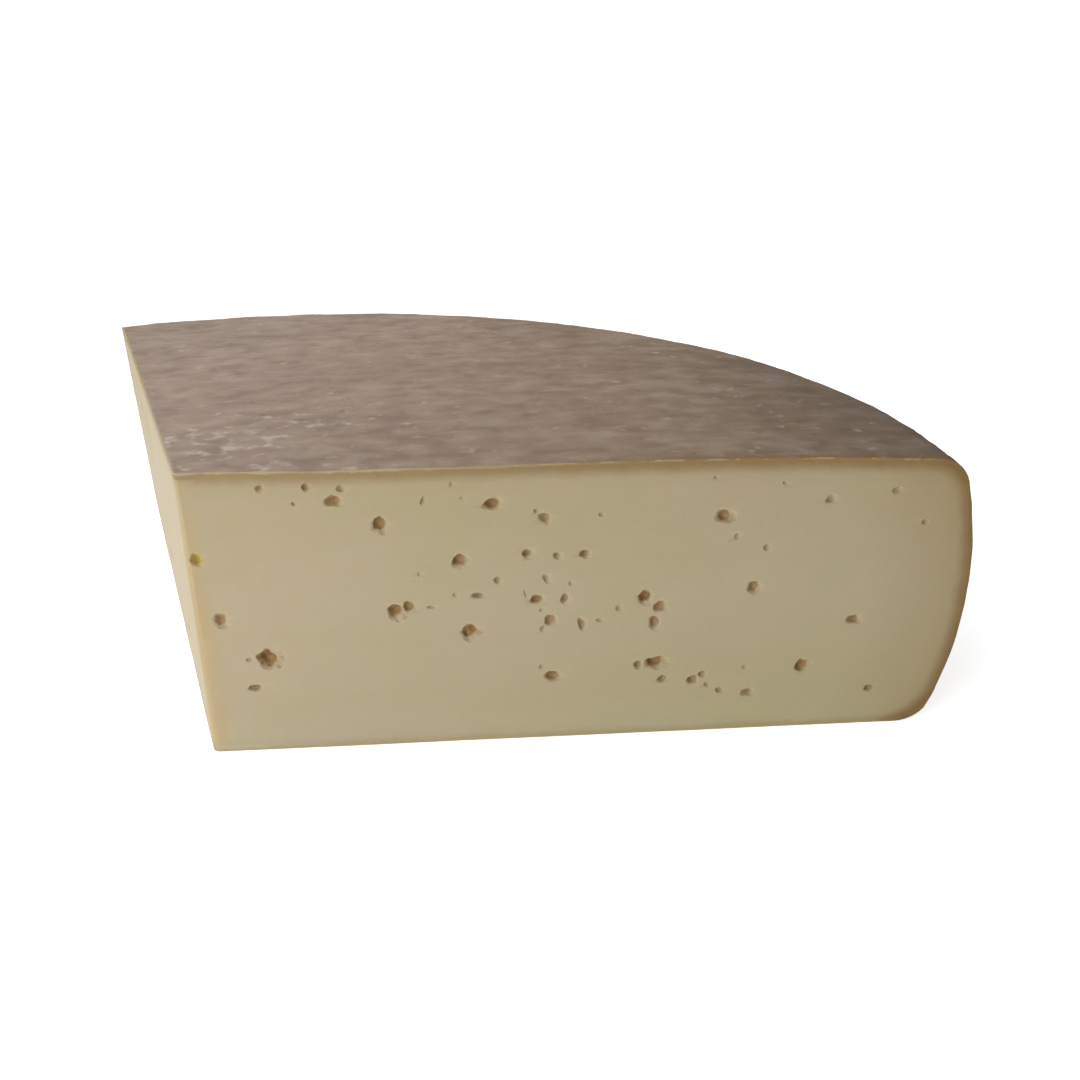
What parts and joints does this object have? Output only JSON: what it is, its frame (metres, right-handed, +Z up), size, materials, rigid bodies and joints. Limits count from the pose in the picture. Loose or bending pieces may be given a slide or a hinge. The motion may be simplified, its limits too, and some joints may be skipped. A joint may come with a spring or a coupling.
{
  "type": "tomme cheese wedge",
  "caption": "Wide wedge cut from a flat round mountain cheese, with a grey-brown rind on top, heel and base and small scattered eyes in its pale cut faces.",
  "frame": {"origin": "middle of the wedge's bounding box, on the flat base it rests on", "axes": "+X along the front cut, from the wedge's point to its heel; +Y away from the viewer, into the cheese behind the front cut; +Z up"},
  "size_m": [0.2655, 0.2, 0.0797],
  "materials": {
    "paste": "satin"
  },
  "bodies": {
    "root": {"tomme_wedge": "paste"}
  },
  "joints": []
}
